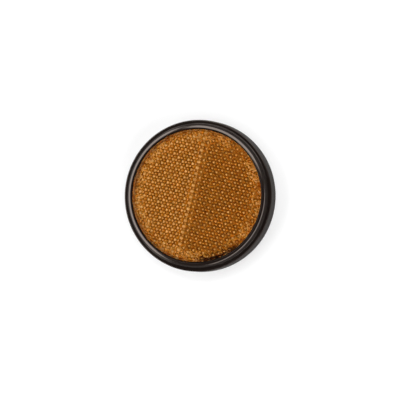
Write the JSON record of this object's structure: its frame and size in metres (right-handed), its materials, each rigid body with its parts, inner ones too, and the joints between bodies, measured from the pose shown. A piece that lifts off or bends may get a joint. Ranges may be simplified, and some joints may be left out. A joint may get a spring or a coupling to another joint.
{
  "type": "round reflector",
  "caption": "Round amber reflex reflector: a clear prismatic lens set in a black moulded housing with a raised lip, on a foam adhesive back.",
  "frame": {"origin": "centre of the adhesive pad's lower face, on the lens's axis", "axes": "+Z along the lens's axis, out of its front; +Y in line with the seam between the two banks of prisms"},
  "size_m": [0.06, 0.06, 0.0104],
  "materials": {
    "housing": "satin black moulded plastic",
    "lens": "clear amber acrylic, polished",
    "adhesive_pad": "dark grey acrylic foam"
  },
  "bodies": {
    "root": {"housing": "housing", "lens": "lens", "adhesive_pad": "adhesive_pad"}
  },
  "joints": []
}
